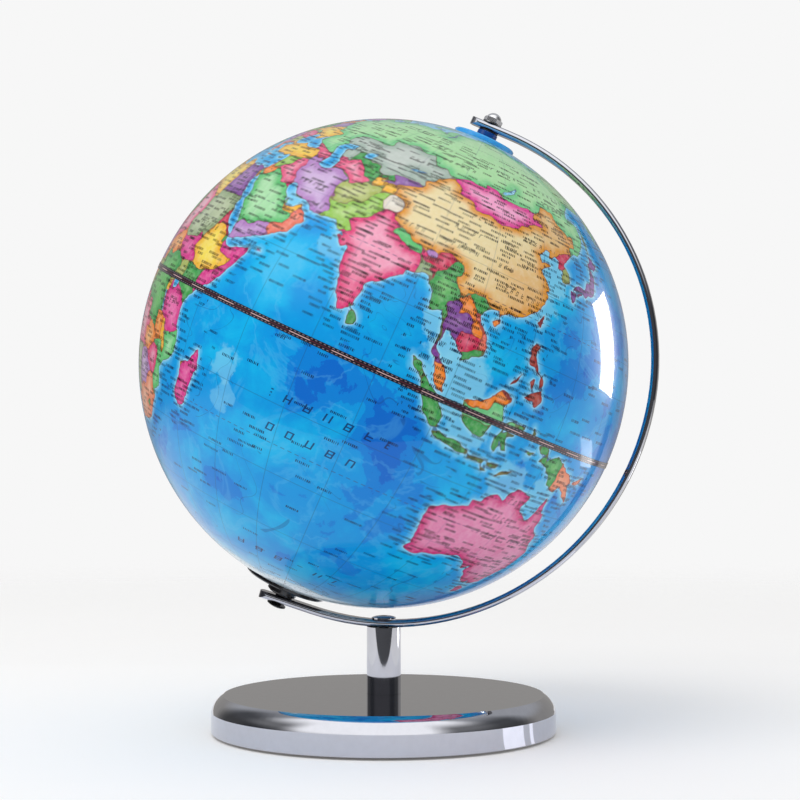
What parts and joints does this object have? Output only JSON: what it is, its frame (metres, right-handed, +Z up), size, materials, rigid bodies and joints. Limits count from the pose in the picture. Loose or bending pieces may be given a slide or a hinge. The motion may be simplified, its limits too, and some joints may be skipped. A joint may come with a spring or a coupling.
{
  "type": "desktop globe on stand",
  "caption": "Political desk globe turning on a leaning axis in a chromed C-arm on a round weighted foot.",
  "frame": {"origin": "centre of the underside of the foot, on the surface it stands on", "axes": "+Z up; the arm stands in the XZ plane and bulges to +X; the north pole leans to +X; -Y is the side towards the sea south of Asia at rest"},
  "size_m": [0.2123, 0.2004, 0.2525],
  "materials": {
    "chrome": "mirror chrome plate",
    "zinc_steel": "zinc plated, satin",
    "black_steel": "black oxide",
    "cast_iron": "as cast",
    "foam_pad": "fine foam",
    "black_plastic": "glossy moulded",
    "black_nylon": "matt",
    "white_plastic": "matt moulded",
    "blue_plastic": "tinted, glossy",
    "printed_globe": "printed map under gloss lacquer",
    "equator_tape": "printed tape"
  },
  "bodies": {
    "stand": {"base_pad": "foam_pad", "base_cover_plate": "black_plastic", "base_shell": "chrome", "base_ballast": "cast_iron", "base_bolt_washer": "zinc_steel", "base_bolt": "zinc_steel", "post_tube": "chrome", "post_foot_plug": "zinc_steel", "post_head_plug": "zinc_steel", "arm": "chrome", "arm_screw": "chrome"},
    "globe": {"north_hemisphere": "printed_globe", "south_hemisphere": "printed_globe", "joining_ring": "white_plastic", "equator_tape": "equator_tape", "north_cap": "blue_plastic", "north_cap_retainer": "zinc_steel", "north_pivot_bolt": "zinc_steel", "north_thrust_washer": "black_nylon", "acorn_nut_washer": "chrome", "acorn_nut": "chrome", "south_cap": "black_plastic", "south_cap_retainer": "zinc_steel", "south_thrust_washer": "black_nylon", "south_captive_nut": "zinc_steel", "south_pivot_screw": "black_steel"}
  },
  "joints": [
    {"name": "globe_spin", "type": "hinge", "parent": "stand", "child": "globe", "pos_m": [0, 0, 0.15006], "axis": [0.4195, 0, 0.9078], "continuous": true}
  ]
}
